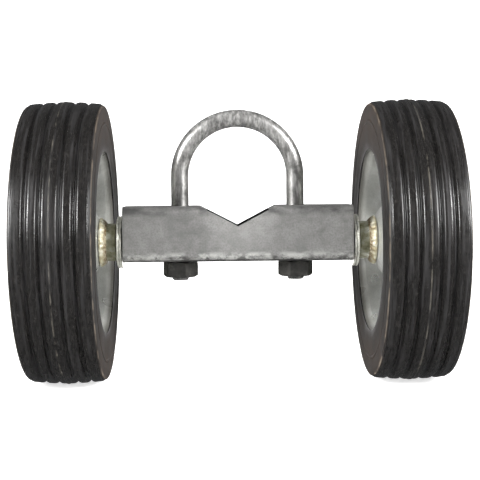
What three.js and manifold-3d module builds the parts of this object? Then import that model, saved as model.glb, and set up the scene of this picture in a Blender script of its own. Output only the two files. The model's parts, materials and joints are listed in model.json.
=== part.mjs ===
// Twin-wheel carrier for a rolling chain-link gate.
//
// A short square tube lies across the gate.  Its top is cut to a shallow V, in which the
// gate's bottom rail rests, and a U-bolt with two nuts clamps the rail down into the V.
// A stub axle welded into each end of the tube carries a solid rubber wheel: two pressed
// discs on a hub tube, running on two bushes, kept on by washers and a split pin.
//
// Frame, in millimetres: the origin is midway along the line of the two axles, +X runs
// along that line, +Y is the way the gate rolls and +Z is up.

import * as THREE from 'three';
import { mergeVertices } from 'three/addons/utils/BufferGeometryUtils.js';
import Module from 'manifold-3d';

const wasm = await Module();
wasm.setup();

// ---- Driving dimensions, in millimetres -------------------------------------------------

const GAP = 0.3;                 // left between two pieces that touch on the real thing

// Square tube
const TUBE_LENGTH = 161.8;
const TUBE_SIZE = 39;            // outside, both ways
const TUBE_WALL = 3;
const TUBE_CORNER = 5;           // outside corner radius
const TUBE_Z = 6;                // tube centre above the axle line
const NOTCH_WIDTH = 54.6;        // the V, across its mouth
const NOTCH_DEPTH = 14.3;
const LEG_HOLE_R = 7.1;          // clearance holes for the U-bolt legs
const END_PLATE = 3;             // thickness of the plates that close the tube

// U-bolt, half-inch rod with 13 threads to the inch, and its nuts
const ROD_R = 6.25;
const LEG_SPACING = 82.2;        // centre to centre
const CROWN_TOP_Z = 93.6;        // outside of the bend
const ROD_END_Z = -27.5;
const NUT_FLATS = 22.2;
const NUT_HEIGHT = 11.4;
const NUT_CHAMFER = 1.6;         // taken off the corners at both ends
const NUT_TURN = { left: 17.8, right: -20 };   // degrees each nut stopped at

// Stub axle, three-quarter inch bar, and what keeps the wheel on it
const AXLE_R = 9.525;
const AXLE_INNER_X = 49.5;
const AXLE_END_X = 162.2;
const AXLE_CHAMFER = 1.6;
const PIN_X = 157.9;             // split pin
const PIN_HOLE_R = 2.05;
const PIN_WIRE_R = 0.75;
const PIN_EYE_R = 2.9;           // centre line of the eye's wire
const PIN_EYE_LIFT = 4.6;        // eye's centre above the axle's surface
const PIN_LEG_GAP = 0.36;        // between the two legs in the hole
const PIN_TIP = [8, -13.2];      // where a leg's bent tip ends, as [across, up]
const PIN_KNEE = [3.4, -11.9];   // and where it starts to bend away
const WASHER_R = 18.7;
const WASHER_BORE_R = 10.1;
const WASHER_THICK = 1.6;        // two of these between tube and hub
const WASHER_START_X = 81.9;
const OUTER_WASHER_THICK = 2.6;
const FLOOR_BEAD_R = 1.9;        // weld beads that hold the axle to the tube's floor
const FLOOR_BEAD_Y = 8.4;        // each side of the axle's centre line
const FLOOR_BEAD_INSET = 2;      // from the axle's inner end, and from the end plate

// Wheel
const WHEEL_X = 119.8;           // centre plane of each wheel
const TYRE_R = 100;
const TYRE_HALF_WIDTH = 26.8;
const TYRE_BASE_R = 50.5;
const SHOULDER_R = 4.6;
const CROWN_DROP = 1.25;         // tread radius lost from the middle to the shoulder
const GROOVES = [6.5, 15.6];     // groove centres either side of the middle
const GROOVE_DEPTH = 2.2;
const GROOVE_HALF_WIDTH = 1.5;
const SIDEWALL_R = 80;           // radius where the sidewall starts to lean in, by so much
const SIDEWALL_LEAN = 1.2;
const LIP_RISE = 1.2;            // the tyre's lip stands this far over the disc's rim
const DISC_RIM_R = 65.1;
const DISC_THICK = 1.9;
const HUB_R = 13.4;
const HUB_BORE_R = 11.4;
const HUB_LENGTH = 66.7;
const HUB_WELD = [               // section of the bead, as [from centre plane, above the hub]
  [23.5, 0.3], [27.2, 0.3], [26.0, 2.6], [23.2, 4.0], [22.2, 3.6],
];
const BUSH_BORE_R = 9.75;
const BUSH_LENGTH = 22;

// Facets round a full turn
const WHEEL_FACETS = 32;
const ROUND_FACETS = 20;
const ROD_FACETS = 12;
const WIRE_FACETS = 6;

// ---- Finishes ---------------------------------------------------------------------------

const finish = (color, roughness, metalness) =>
  new THREE.MeshStandardMaterial({ color, roughness, metalness });

const FINISH = {
  galvanised: () => finish(0x9d9e9c, 0.55, 0.85),
  zinc: () => finish(0xb9bbb6, 0.32, 0.95),
  disc: () => finish(0xb4b6ae, 0.35, 0.9),
  weld: () => finish(0xb19f72, 0.45, 0.8),
  darkSteel: () => finish(0x4b4b4a, 0.5, 0.7),
  bar: () => finish(0x8f908d, 0.4, 0.9),
  bronze: () => finish(0x9a7b4a, 0.45, 0.85),
  rubber: () => finish(0x2d2c2b, 0.7, 0),
};

// ---- Solid helpers ----------------------------------------------------------------------

// A closed three.js geometry as a manifold solid, and back again.
function toSolid(geometry) {
  const bare = geometry.clone();
  bare.deleteAttribute('normal');
  bare.deleteAttribute('uv');
  const merged = mergeVertices(bare, 1e-4);
  return new wasm.Manifold(new wasm.Mesh({
    numProp: 3,
    vertProperties: new Float32Array(merged.attributes.position.array),
    triVerts: new Uint32Array(merged.index.array),
  }));
}

function toGeometry(solid) {
  const mesh = solid.getMesh();
  const geometry = new THREE.BufferGeometry();
  geometry.setAttribute('position', new THREE.BufferAttribute(mesh.vertProperties, 3));
  geometry.setIndex(new THREE.BufferAttribute(mesh.triVerts, 1));
  geometry.computeVertexNormals();
  return geometry;
}

function cut(geometry, ...tools) {
  return toGeometry(tools.reduce((solid, tool) => solid.subtract(toSolid(tool)), toSolid(geometry)));
}

// Turns a list of [along the axis, radius] points about the X axis.  A loop that doesn't
// start on the axis is closed on itself; it is always walked the way that faces outwards.
function turned(points, facets = ROUND_FACETS) {
  const area = points.reduce((sum, [x, r], i) => {
    const [nextX, nextR] = points[(i + 1) % points.length];
    return sum + (r * nextX - nextR * x);
  }, 0);
  const walk = area > 0 ? [...points] : [...points].reverse();
  if (walk.every(([, r]) => r > 0)) walk.push(walk[0]);
  const profile = walk.map(([x, r]) => new THREE.Vector2(r, x));
  return new THREE.LatheGeometry(profile, facets).rotateZ(-Math.PI / 2);
}

function ring(fromX, toX, boreR, outerR, facets = ROUND_FACETS) {
  return turned([[fromX, boreR], [toX, boreR], [toX, outerR], [fromX, outerR]], facets);
}

// A cylinder that stands along Z, used to drill holes.
function drill(r, fromZ, toZ, x, y = 0) {
  return new THREE.CylinderGeometry(r, r, toZ - fromZ, ROUND_FACETS)
    .rotateX(Math.PI / 2)
    .translate(x, y, (fromZ + toZ) / 2);
}

function circleShape(r) {
  return new THREE.Shape().absarc(0, 0, r, 0, 2 * Math.PI, false);
}

// A round bar bent along a curve.
function bent(curve, r, facets, steps) {
  return new THREE.ExtrudeGeometry(circleShape(r), {
    extrudePath: curve, steps, curveSegments: facets / 2, bevelEnabled: false,
  });
}

// ---- Tube, end plates and stub axles ----------------------------------------------------

const TUBE_END_X = TUBE_LENGTH / 2;
const TUBE_TOP_Z = TUBE_Z + TUBE_SIZE / 2;
const TUBE_BOTTOM_Z = TUBE_Z - TUBE_SIZE / 2;

function roundedSquare(size, corner, Outline = THREE.Shape) {
  const flat = size / 2 - corner;
  return [0, 1, 2, 3].reduce((outline, quarter) => {
    const start = quarter * Math.PI / 2;
    const [x, y] = [[1, 1], [-1, 1], [-1, -1], [1, -1]][quarter];
    return outline.absarc(x * flat, y * flat, corner, start, start + Math.PI / 2, false);
  }, new Outline());
}

// Extrudes an outline drawn across the tube, from one X to another.
function alongTube(outline, fromX, toX) {
  return new THREE.ExtrudeGeometry(outline, {
    depth: toX - fromX, curveSegments: 3, bevelEnabled: false,
  }).rotateY(Math.PI / 2).rotateX(Math.PI / 2).translate(fromX, 0, TUBE_Z);
}

function carrierTube() {
  const outline = roundedSquare(TUBE_SIZE, TUBE_CORNER);
  outline.holes.push(roundedSquare(TUBE_SIZE - 2 * TUBE_WALL, TUBE_CORNER - TUBE_WALL, THREE.Path));
  const tube = alongTube(outline, -TUBE_END_X, TUBE_END_X);
  // The V is carried on above the tube at its own slope, and past both of the tube's faces.
  const above = 0.4;             // share of the V's depth
  const vee = new THREE.Shape([
    new THREE.Vector2(0, TUBE_TOP_Z - NOTCH_DEPTH),
    new THREE.Vector2(NOTCH_WIDTH / 2 * (1 + above), TUBE_TOP_Z + NOTCH_DEPTH * above),
    new THREE.Vector2(-NOTCH_WIDTH / 2 * (1 + above), TUBE_TOP_Z + NOTCH_DEPTH * above),
  ]);
  const notch = new THREE.ExtrudeGeometry(vee, { depth: 2 * TUBE_SIZE, bevelEnabled: false })
    .rotateX(Math.PI / 2)
    .translate(0, TUBE_SIZE, 0);
  const holes = [-1, 1].map((side) =>
    drill(LEG_HOLE_R, TUBE_BOTTOM_Z - 1, TUBE_TOP_Z + 1, side * LEG_SPACING / 2));
  return cut(tube, notch, ...holes);
}

// Drawn for the +X end; mirrored for the other.
function endPlate() {
  const inside = TUBE_SIZE - 2 * TUBE_WALL - 2 * GAP;
  const plate = alongTube(roundedSquare(inside, TUBE_CORNER - TUBE_WALL),
    TUBE_END_X - END_PLATE, TUBE_END_X);
  const axleHole = turned([
    [TUBE_END_X - 2 * END_PLATE, 0], [TUBE_END_X - 2 * END_PLATE, AXLE_R + GAP],
    [TUBE_END_X + END_PLATE, AXLE_R + GAP], [TUBE_END_X + END_PLATE, 0],
  ]);
  return cut(plate, axleHole);
}

function stubAxle() {
  const bar = turned([
    [AXLE_INNER_X, 0], [AXLE_INNER_X, AXLE_R], [AXLE_END_X - AXLE_CHAMFER, AXLE_R],
    [AXLE_END_X, AXLE_R - AXLE_CHAMFER], [AXLE_END_X, 0],
  ]);
  return cut(bar, drill(PIN_HOLE_R, -2 * AXLE_R, 2 * AXLE_R, PIN_X));
}

// One bead along the axle, in the corner between it and the tube's floor.
function floorBead(y) {
  const fromX = AXLE_INNER_X + FLOOR_BEAD_INSET;
  const toX = TUBE_END_X - END_PLATE - FLOOR_BEAD_INSET;
  const z = TUBE_BOTTOM_Z + TUBE_WALL + GAP + FLOOR_BEAD_R;
  // Each end is rounded off through the 45 degree point of a quarter circle.
  const r = FLOOR_BEAD_R;
  const out = r * Math.SQRT1_2;
  return turned([
    [fromX, 0], [fromX + r - out, out], [fromX + r, r], [toX - r, r], [toX - r + out, out],
    [toX, 0],
  ], ROD_FACETS).translate(0, y, z);
}

function washer(fromX, thick) {
  return ring(fromX, fromX + thick, WASHER_BORE_R, WASHER_R);
}

// Split pin: one wire, out of the hole into an eye above the axle and back, with its two
// tips bent apart below.  It lies in a plane across the axle.
function splitPin() {
  const apart = PIN_WIRE_R + PIN_LEG_GAP / 2;
  const eyeZ = AXLE_R + PIN_EYE_LIFT;
  const leg = [PIN_TIP, PIN_KNEE, [apart, -AXLE_R], [apart, 0], [apart, AXLE_R]];
  const eye = [];
  for (let degrees = -70; degrees <= 250; degrees += 40) {
    const a = THREE.MathUtils.degToRad(degrees);
    eye.push([PIN_EYE_R * Math.cos(a), eyeZ + PIN_EYE_R * Math.sin(a)]);
  }
  const back = leg.map(([y, z]) => [-y, z]).reverse();
  const line = [...leg, ...eye, ...back].map(([y, z]) => new THREE.Vector3(PIN_X, y, z));
  return bent(new THREE.CatmullRomCurve3(line), PIN_WIRE_R, WIRE_FACETS, 40);
}

// ---- U-bolt and nuts --------------------------------------------------------------------

// Centre line of the rod: up one leg, round a half circle, down the other.
class UBoltLine extends THREE.Curve {
  getPoint(t, target = new THREE.Vector3()) {
    const bendR = LEG_SPACING / 2;
    const springZ = CROWN_TOP_Z - ROD_R - bendR;
    const leg = springZ - ROD_END_Z;
    const bend = Math.PI * bendR;
    const s = t * (2 * leg + bend);
    if (s < leg) return target.set(-bendR, 0, ROD_END_Z + s);
    if (s > leg + bend) return target.set(bendR, 0, springZ - (s - leg - bend));
    const a = Math.PI - (s - leg) / bendR;
    return target.set(bendR * Math.cos(a), 0, springZ + bendR * Math.sin(a));
  }
}

// Six-sided nut with both ends chamfered, hanging under the tube on the axis x.
function hexNut(x, turnDegrees) {
  const cornerR = NUT_FLATS / Math.sqrt(3);
  const topZ = TUBE_BOTTOM_Z - GAP;
  const halfHeight = NUT_HEIGHT / 2;
  const clear = 0.2;             // the chamfering cutter's radius beyond the corners
  const hex = new THREE.CylinderGeometry(cornerR, cornerR, NUT_HEIGHT, 6)
    .rotateX(Math.PI / 2)
    .rotateZ(THREE.MathUtils.degToRad(turnDegrees));
  const round = new THREE.LatheGeometry([
    [0, -halfHeight], [cornerR - NUT_CHAMFER, -halfHeight],
    [cornerR + clear, -halfHeight + NUT_CHAMFER], [cornerR + clear, halfHeight - NUT_CHAMFER],
    [cornerR - NUT_CHAMFER, halfHeight], [0, halfHeight],
  ].map(([r, y]) => new THREE.Vector2(r, y)), ROUND_FACETS).rotateX(Math.PI / 2);
  const bore = drill(ROD_R + GAP, -NUT_HEIGHT, NUT_HEIGHT, 0);
  const solid = toSolid(hex).intersect(toSolid(round)).subtract(toSolid(bore));
  return toGeometry(solid).translate(x, 0, topZ - halfHeight);
}

// ---- Wheel, drawn about its own centre plane --------------------------------------------

// Visible face of a pressed disc, as [distance from the centre plane, radius]: a flared rim,
// a flat ring where the two discs meet, and a cone up to the hub.
const DISC_FACE = new THREE.SplineCurve([
  [24.8, DISC_RIM_R], [19.5, 62.6], [11.5, 58.6], [5.0, 53.6], [2.2, 47.6], [2.7, 42.2],
  [6.6, 35.6], [13.4, 27.4], [19.2, 20.0], [22.2, HUB_R + 1.4],
].map(([u, r]) => new THREE.Vector2(u, r)));

// The disc's face moved back by a distance, along its own normal, as [u, radius] points.
function discOffset(distance, count, untilT = 1) {
  return Array.from({ length: count }, (_, i) => {
    const t = untilT * i / (count - 1);
    const point = DISC_FACE.getPointAt(t);
    const along = DISC_FACE.getTangentAt(t);
    // The rim runs down towards the axis, so the back of the sheet is on its right hand.
    return [point.x + along.y * distance, point.y - along.x * distance];
  });
}

function disc() {
  const samples = 7;
  const face = discOffset(0, samples);
  const back = discOffset(DISC_THICK, samples);
  return turned([...face, ...back.reverse()], WHEEL_FACETS);
}

// Tread, shoulders and sidewalls, then the wedge that the two discs grip.
function tyre() {
  const treadR = (u) => TYRE_R - CROWN_DROP * (u / (TYRE_HALF_WIDTH - SHOULDER_R)) ** 2;
  const shoulderU = TYRE_HALF_WIDTH - SHOULDER_R;
  const half = [[0, TYRE_R]];
  for (const g of GROOVES) {
    half.push([g - GROOVE_HALF_WIDTH, treadR(g)], [g, treadR(g) - GROOVE_DEPTH]);
    half.push([g + GROOVE_HALF_WIDTH, treadR(g)]);
  }
  for (const degrees of [90, 50, 0]) {
    const a = THREE.MathUtils.degToRad(degrees);
    half.push([shoulderU + SHOULDER_R * Math.cos(a), treadR(shoulderU) - SHOULDER_R * (1 - Math.sin(a))]);
  }
  half.push([TYRE_HALF_WIDTH, SIDEWALL_R]);
  half.push([TYRE_HALF_WIDTH - SIDEWALL_LEAN, DISC_RIM_R + LIP_RISE]);
  // Behind the disc's rim, down to where the discs close in.
  const grippedShare = 0.34;     // of the disc's face, from its rim
  const gripped = discOffset(DISC_THICK + GAP, 4, grippedShare).filter(([, r]) => r > TYRE_BASE_R);
  half.push(...gripped);
  const mirrored = half.slice(1).map(([u, r]) => [-u, r]).reverse();
  return turned([...half, ...mirrored], WHEEL_FACETS);
}

function hubWeld() {
  return turned(HUB_WELD.map(([u, above]) => [u, HUB_R + above]));
}

// ---- Assembly ---------------------------------------------------------------------------

const group = new THREE.Group();

function add(name, geometry, material) {
  const mesh = new THREE.Mesh(geometry, material());
  mesh.name = name;
  group.add(mesh);
  return mesh;
}

// The same piece at the other end of the axle line: turned half round about Z.
function addAtSide(name, side, geometry, material) {
  const mesh = add(`${name}_${side}`, geometry, material);
  if (side === 'left') mesh.rotation.z = Math.PI;
  return mesh;
}

add('carrier_tube', carrierTube(), FINISH.galvanised);
add('u_bolt', bent(new UBoltLine(), ROD_R, ROD_FACETS, 44), FINISH.zinc);

for (const [side, sign] of [['left', -1], ['right', 1]]) {
  add(`hex_nut_${side}`, hexNut(sign * LEG_SPACING / 2, NUT_TURN[side]), FINISH.darkSteel);

  addAtSide('end_plate', side, endPlate(), FINISH.galvanised);
  addAtSide('stub_axle', side, stubAxle(), FINISH.bar);
  addAtSide('axle_weld_front', side, floorBead(-sign * FLOOR_BEAD_Y), FINISH.weld);
  addAtSide('axle_weld_rear', side, floorBead(sign * FLOOR_BEAD_Y), FINISH.weld);
  addAtSide('thrust_washer_a', side, washer(WASHER_START_X, WASHER_THICK), FINISH.zinc);
  addAtSide('thrust_washer_b', side, washer(WASHER_START_X + WASHER_THICK + GAP, WASHER_THICK),
    FINISH.zinc);

  const hubEnd = WHEEL_X + HUB_LENGTH / 2;
  addAtSide('outer_washer', side, washer(hubEnd + 2 * GAP, OUTER_WASHER_THICK), FINISH.zinc);
  addAtSide('split_pin', side, splitPin(), FINISH.zinc);

  // A disc, weld or bush drawn for one face of the wheel is turned about for the other.
  const shift = (geometry) => geometry.translate(WHEEL_X, 0, 0);
  const inward = (geometry) => shift(geometry.rotateZ(Math.PI));
  addAtSide('tyre', side, shift(tyre()), FINISH.rubber);
  addAtSide('hub_tube', side, shift(ring(-HUB_LENGTH / 2, HUB_LENGTH / 2, HUB_BORE_R, HUB_R)),
    FINISH.zinc);
  const bush = () => ring(HUB_LENGTH / 2 - BUSH_LENGTH, HUB_LENGTH / 2, BUSH_BORE_R, HUB_BORE_R - GAP);
  for (const [face, place] of [['inner', inward], ['outer', shift]]) {
    addAtSide(`disc_${face}`, side, place(disc()), FINISH.disc);
    addAtSide(`hub_weld_${face}`, side, place(hubWeld()), FINISH.weld);
    addAtSide(`bush_${face}`, side, place(bush()), FINISH.bronze);
  }
}

export default group;
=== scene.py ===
"""Looks for the twin-wheel carrier of a rolling gate.

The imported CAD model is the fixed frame: it gives the sizes, the places and the bodies that move.
The pieces made here stand for its solids with their finer shape: ribbed rubber tyres, pressed
discs, rippled welds, a notched square tube with a rolled corner, a threaded U-bolt and its nuts.
Metres throughout, +X along the axles, +Y the way the gate rolls, +Z up.
"""

import json
import math

import bpy
import numpy as np
from mathutils import Matrix, Vector


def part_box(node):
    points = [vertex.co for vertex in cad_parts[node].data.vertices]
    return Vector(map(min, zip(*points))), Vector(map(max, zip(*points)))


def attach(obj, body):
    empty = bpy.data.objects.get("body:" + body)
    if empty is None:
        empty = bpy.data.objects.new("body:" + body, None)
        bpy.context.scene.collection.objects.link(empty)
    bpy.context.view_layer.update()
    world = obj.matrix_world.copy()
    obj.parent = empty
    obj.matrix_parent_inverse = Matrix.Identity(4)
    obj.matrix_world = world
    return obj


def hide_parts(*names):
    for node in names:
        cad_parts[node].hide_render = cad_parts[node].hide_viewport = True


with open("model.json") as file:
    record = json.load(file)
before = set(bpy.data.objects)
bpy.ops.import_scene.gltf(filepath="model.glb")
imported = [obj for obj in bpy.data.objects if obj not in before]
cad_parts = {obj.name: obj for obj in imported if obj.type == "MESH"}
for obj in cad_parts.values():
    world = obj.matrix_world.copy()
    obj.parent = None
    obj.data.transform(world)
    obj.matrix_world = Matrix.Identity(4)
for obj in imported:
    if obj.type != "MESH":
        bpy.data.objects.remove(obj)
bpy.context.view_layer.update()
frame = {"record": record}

MM = 0.001
TAU = 2 * math.pi
SIDES = (("left", -1), ("right", 1))

# ---- Places and sizes, from the frame -----------------------------------------------------

TUBE_LOW, TUBE_HIGH = (np.array(corner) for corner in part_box("carrier_tube"))
TYRE_LOW, TYRE_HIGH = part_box("tyre_right")
HUB_LOW, HUB_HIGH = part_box("hub_tube_right")
ROD_LOW, ROD_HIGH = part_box("u_bolt")
AXLE_LOW, AXLE_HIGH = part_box("stub_axle_right")
NUT_LOW, NUT_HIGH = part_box("hex_nut_right")
PIN_LOW, PIN_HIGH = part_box("split_pin_right")
MOUNTS = {mount["name"]: mount for mount in frame["record"]["mounts"]}

WHEEL_X = (TYRE_LOW.x + TYRE_HIGH.x) / 2
TYRE_R = TYRE_HIGH.z
TYRE_HALF = (TYRE_HIGH.x - TYRE_LOW.x) / 2
HUB_R = HUB_HIGH.z
HUB_HALF = (HUB_HIGH.x - HUB_LOW.x) / 2
AXLE_R = AXLE_HIGH.z
ROD_R = (ROD_HIGH.y - ROD_LOW.y) / 2
LEG_X = ROD_HIGH.x - ROD_R
BEND_Z = ROD_HIGH.z - ROD_R - LEG_X
TUBE_HALF = (TUBE_HIGH[2] - TUBE_LOW[2]) / 2
TUBE_Z = (TUBE_HIGH[2] + TUBE_LOW[2]) / 2
NOTCH_Z = MOUNTS["gate_rail_saddle"]["pos_m"][2]
FLANK = MOUNTS["saddle_left_front"]["axis"]
NOTCH_SLOPE = FLANK[0] / FLANK[2]
PIN_X = (PIN_LOW.x + PIN_HIGH.x) / 2

# ---- Sizes that the frame doesn't state ---------------------------------------------------

HUB_WALL = 2.0 * MM
HUB_BORE = HUB_R - HUB_WALL
TUBE_WALL = 3.0 * MM
TUBE_CORNER = 5.0 * MM
LEG_HOLE_R = 7.1 * MM
THREAD_PITCH = 25.4 * MM / 13          # half-inch coarse thread
THREAD_DEPTH = 0.75 * MM
THREAD_TOP_Z = 20 * MM                 # the threads run up inside the tube to here
ROD_CHAMFER = 1.3 * MM
NUT_FLATS = 22.2 * MM
NUT_FACE_R = 0.94 * NUT_FLATS / 2      # flat ring inside the chamfer, at both ends
NUT_CORNER_R = 0.996 * NUT_FLATS / math.sqrt(3)
NUT_TURN = {"left": 17.8, "right": -20.0}      # degrees each nut stopped at
TYRE_BASE_R = 50.5 * MM
GROOVES = np.array([6.5, 15.6]) * MM
GROOVE_DEPTH = 2.3 * MM
RIDGE = 0.35 * MM                      # parting line's height over the tread
CROWN_DROP = 1.25 * MM                 # tread radius lost at CROWN_HALF from the middle
CROWN_HALF = 22.2 * MM
SHOULDER = 23.9 * MM                   # where the tread steps down
DISC_THICK = 1.9 * MM
AXLE_CHAMFER = 1.6 * MM                # at the outer end; the inner end has half of it
WASHER_BORE_R = 10.1 * MM
PIN_HOLE_R = 2.05 * MM
PIN_WIRE_R = 0.75 * MM
PIN_EYE_R = 2.9 * MM                   # centre line of the eye
PIN_EYE_Z = AXLE_R + 4.6 * MM

# Half of the split pin's centre line, as [along Y, up] in mm: bent tip, knee, straight leg.
PIN_LEG = np.array([[8, -13.2], [3.4, -11.9], [0.93, -9.2], [0.93, 0], [0.93, 9.6]]) * MM

# One groove of the tread, as [from its centre in mm, share of its depth, fillet in mm].
GROOVE_SHAPE = ((-1.9, 0, 1.35), (-0.7, 1, 0.4), (0.7, 1, 0.4), (1.9, 0, 1.35))

# The sidewall from the shoulder down to the lip over the disc's rim, with its moulded ridge,
# as [distance from the centre plane, radius, fillet] in mm.
SIDEWALL = np.array([
    [26.3, 97.0, 2.0], [26.55, 92.0, 2.0], [26.4, 85.6, 0.4], [26.8, 85.0, 0.3],
    [26.8, 83.9, 0.3], [26.4, 83.3, 0.4], [26.45, 74.0, 3.0], [25.7, 64.8, 0.9],
    [25.05, 64.8, 0.3], [25.05, 67.2, 0.3],
]) * MM

# Section of the bead between hub and disc, given in the same way.
HUB_BEAD = np.array([
    [23.2, 13.6, 0.1], [27.0, 13.6, 0.2], [26.3, 14.6, 1.0], [24.9, 15.9, 1.2],
    [22.9, 17.3, 0.8], [21.7, 17.1, 0.4],
]) * MM

# A pressed disc's visible face, as [distance from the wheel's centre plane, radius] in mm:
# flared rim, flat ring where the two discs meet, cone up to the hub.
DISC_FACE = np.array([
    [24.8, 65.1], [19.5, 62.6], [11.5, 58.6], [5.0, 53.6], [2.2, 47.6], [2.7, 42.2],
    [6.6, 35.6], [13.4, 27.4], [19.2, 20.0], [22.2, 14.8],
]) * MM


# ---- Mesh helpers -------------------------------------------------------------------------

def grid(rows, columns, close_rows=False, close_columns=False):
    """Quads of a rows x columns grid of points, joined round where a direction is closed."""
    i, j = np.meshgrid(np.arange(rows - (not close_rows)), np.arange(columns - (not close_columns)),
                       indexing="ij")
    below, right = (i + 1) % rows, (j + 1) % columns
    quads = [i * columns + j, below * columns + j, below * columns + right, i * columns + right]
    return np.stack(quads, -1).reshape(-1, 4)


def facing_out(points, faces):
    """The faces, turned over if the volume they enclose, summed from the origin, is negative."""
    a, b, c = (points[faces[:, k]] for k in range(3))
    volume = np.einsum("ij,ij->i", a, np.cross(b, c)).sum()
    if faces.shape[1] == 4:
        d = points[faces[:, 3]]
        volume += np.einsum("ij,ij->i", a, np.cross(c, d)).sum()
    return faces if volume > 0 else faces[:, ::-1]


def piece(name, points, faces, material, body, nodes, sharp=32):
    """Puts points and faces into a mesh that rides on a body and stands for CAD nodes."""
    mesh = bpy.data.meshes.new(name)
    mesh.from_pydata(points.tolist(), [], [face for part in faces for face in part.tolist()])
    mesh.validate()
    mesh.polygons.foreach_set("use_smooth", np.ones(len(mesh.polygons), bool))
    mesh.set_sharp_from_angle(angle=math.radians(sharp))
    mesh.materials.append(material)
    made = bpy.data.objects.new(name, mesh)
    bpy.context.scene.collection.objects.link(made)
    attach(made, body)
    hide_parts(*nodes)
    return made


def filleted(corners, steps=4):
    """A closed outline with each corner [x, y, fillet] rounded: from one tangent point to the
    other along a quadratic curve whose middle control point is the corner itself."""
    corners = np.array(corners, float)
    here = corners[:, :2]
    before = np.roll(here, 1, 0) - here
    after = np.roll(here, -1, 0) - here
    room = np.minimum(np.linalg.norm(before, axis=1), np.linalg.norm(after, axis=1)) * 0.49
    reach = np.minimum(corners[:, 2], room)[:, None]
    start = here + before / np.linalg.norm(before, axis=1, keepdims=True) * reach
    end = here + after / np.linalg.norm(after, axis=1, keepdims=True) * reach
    t = np.linspace(0, 1, steps + 1)[None, :, None]
    arcs = (1 - t) ** 2 * start[:, None] + 2 * t * (1 - t) * here[:, None] + t ** 2 * end[:, None]
    count = np.where(corners[:, 2] > 0, steps + 1, 1)
    return np.concatenate([arc[:n] for arc, n in zip(arcs, count)])


def smooth_line(control, per_span):
    """Catmull-Rom curve through the control points: each span blends the tangents at its ends."""
    control = np.asarray(control, float)
    padded = np.vstack([2 * control[0] - control[1], control, 2 * control[-1] - control[-2]])
    t = np.linspace(0, 1, per_span, endpoint=False)[:, None]
    p0, p1, p2, p3 = padded[:-3, None], padded[1:-2, None], padded[2:-1, None], padded[3:, None]
    line = 0.5 * (2 * p1 + (p2 - p0) * t + (2 * p0 - 5 * p1 + 4 * p2 - p3) * t ** 2
                  + (3 * p1 - p0 - 3 * p2 + p3) * t ** 3)
    return np.vstack([line.reshape(-1, control.shape[1]), control[-1]])


def ripple(*angles, waves=((3, 0.5, 0.3), (7, 0.3, 1.9), (13, 0.2, 4.1))):
    """An uneven value from -1 to 1: a sum of sines of the angles, each [count, share, phase]."""
    total = 0
    for k, angle in enumerate(angles):
        for count, share, phase in waves:
            total = total + share * np.sin(count * angle + phase * (k + 1)) / len(angles)
    return total


def turned(outline, steps, uneven=None):
    """A closed outline [x, r] carried round the X axis, so a point goes to (x, r cos a, r sin a).
    uneven, given x, r and a as arrays, returns what to add to x and r."""
    a = np.linspace(0, TAU, steps, endpoint=False)[None, :]
    x = outline[:, :1] + 0 * a
    r = outline[:, 1:2] + 0 * a
    if uneven:
        more_x, more_r = uneven(x, r, a)
        x, r = x + more_x, r + more_r
    points = np.stack([x, r * np.cos(a), r * np.sin(a)], -1).reshape(-1, 3)
    return points, facing_out(points, grid(len(outline), steps, True, True))


def along(line, section_r, across, steps):
    """A round bar along a line: at each station the section's point at angle a is the station
    plus r (side cos a + across sin a), where side is square to the line and to across, and r
    is section_r at that station and angle. The two ends are closed by fans to the line's ends."""
    run = np.gradient(line, axis=0)
    run /= np.linalg.norm(run, axis=1, keepdims=True)
    side = np.cross(run, across)
    a = np.linspace(0, TAU, steps, endpoint=False)[None, :, None]
    r = np.broadcast_to(section_r, (len(line), steps))[:, :, None]
    ring = line[:, None] + r * (side[:, None] * np.cos(a) + np.asarray(across) * np.sin(a))
    points = np.vstack([ring.reshape(-1, 3), line[:1], line[-1:]])
    quads = grid(len(line), steps, False, True)
    outward = facing_out(points, quads)
    j = np.arange(steps)
    last = (len(line) - 1) * steps
    first_pole, last_pole = len(line) * steps, len(line) * steps + 1
    fans = np.vstack([
        np.stack([j, (j + 1) % steps, np.full(steps, first_pole)], -1),
        np.stack([last + (j + 1) % steps, last + j, np.full(steps, last_pole)], -1),
    ])
    # The fans are wound as the quads were, so they are turned over when the quads are.
    return points, [outward, fans if outward is quads else fans[:, ::-1]]


def shell(outer, inner, faces):
    """A wall between two sheets of points with the same faces: the outer sheet, the inner one
    turned over, and a strip along every edge that only one face of the sheet uses."""
    count = len(outer)
    edges = np.concatenate([faces[:, [k, (k + 1) % 4]] for k in range(4)])
    key = np.sort(edges, axis=1)
    _, first, uses = np.unique(key, axis=0, return_index=True, return_counts=True)
    rim = edges[first[uses == 1]]
    strip = np.stack([rim[:, 1], rim[:, 0], rim[:, 0] + count, rim[:, 1] + count], -1)
    points = np.vstack([outer, inner])
    return points, facing_out(points, np.vstack([faces, faces[:, ::-1] + count, strip]))


def welded(points, faces, digits=7):
    """Points closer than the last digit become one, and faces that lose a corner go."""
    _, first, back = np.unique(np.round(points, digits), axis=0, return_index=True,
                               return_inverse=True)
    faces = back.reshape(-1)[faces]
    whole = (np.diff(np.sort(faces, axis=1), axis=1) > 0).all(1)
    return first, faces[whole]


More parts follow.
